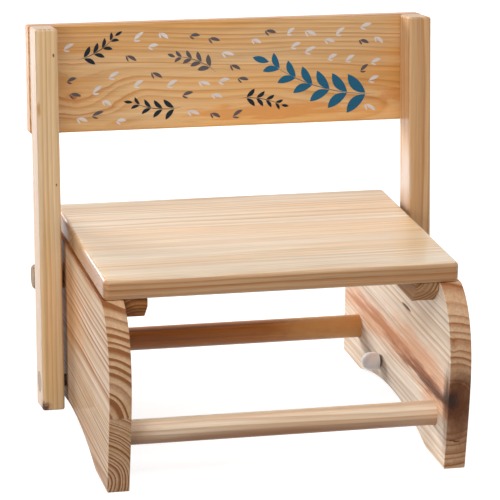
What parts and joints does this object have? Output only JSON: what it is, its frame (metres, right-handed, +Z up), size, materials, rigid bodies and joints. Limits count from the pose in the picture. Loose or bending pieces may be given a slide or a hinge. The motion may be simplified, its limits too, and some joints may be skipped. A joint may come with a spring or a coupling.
{
  "type": "library step chair",
  "caption": "Small pine chair with a seat on shaped side panels; its back frame swings forward over the seat to lie in front as a low step.",
  "frame": {"origin": "on the floor, midway between the side panels and midway along them", "axes": "+Z up, -Y towards the chair's front, +X towards the right as seen from the front"},
  "size_m": [0.386, 0.3518, 0.3702],
  "materials": {
    "pale_pine": "satin lacquer",
    "panel_pine": "satin lacquer",
    "rail_pine": "satin lacquer",
    "cleat_pine": "plain, unpolished",
    "peg_pine": "satin lacquer",
    "upright_pine": "satin lacquer",
    "board_pine": "satin lacquer",
    "plug_pine": "satin lacquer",
    "zinc_steel": "zinc plated",
    "dark_zinc": "dull zinc",
    "brown_nylon": "matte",
    "pale_plastic": "satin"
  },
  "bodies": {
    "stool": {"seat_board": "pale_pine", "front_rail": "rail_pine", "rear_rail": "rail_pine", "left_side_panel": "panel_pine", "left_seat_cleat": "cleat_pine", "left_stop_peg": "peg_pine", "left_seat_screw_1": "zinc_steel", "left_seat_screw_2": "zinc_steel", "left_side_screw_1": "zinc_steel", "left_side_screw_2": "zinc_steel", "right_side_panel": "panel_pine", "right_seat_cleat": "cleat_pine", "right_stop_peg": "peg_pine", "right_seat_screw_1": "zinc_steel", "right_seat_screw_2": "zinc_steel", "right_side_screw_1": "zinc_steel", "right_side_screw_2": "zinc_steel"},
    "back_frame": {"back_board": "board_pine", "left_upright": "upright_pine", "left_bore_plug": "plug_pine", "left_pivot_bolt": "zinc_steel", "left_head_washer": "dark_zinc", "left_spacer": "brown_nylon", "left_inner_washer": "dark_zinc", "left_lock_nut": "dark_zinc", "left_nut_cap": "pale_plastic", "left_back_screw_1": "zinc_steel", "left_back_screw_2": "zinc_steel", "right_upright": "upright_pine", "right_bore_plug": "plug_pine", "right_pivot_bolt": "zinc_steel", "right_head_washer": "dark_zinc", "right_spacer": "brown_nylon", "right_inner_washer": "dark_zinc", "right_lock_nut": "dark_zinc", "right_nut_cap": "pale_plastic", "right_back_screw_1": "zinc_steel", "right_back_screw_2": "zinc_steel"}
  },
  "joints": [
    {"name": "back_flip", "type": "hinge", "parent": "stool", "child": "back_frame", "pos_m": [0, 0.04175, 0.033], "axis": [1, 0, 0], "range_deg": [0, 99.5]}
  ]
}
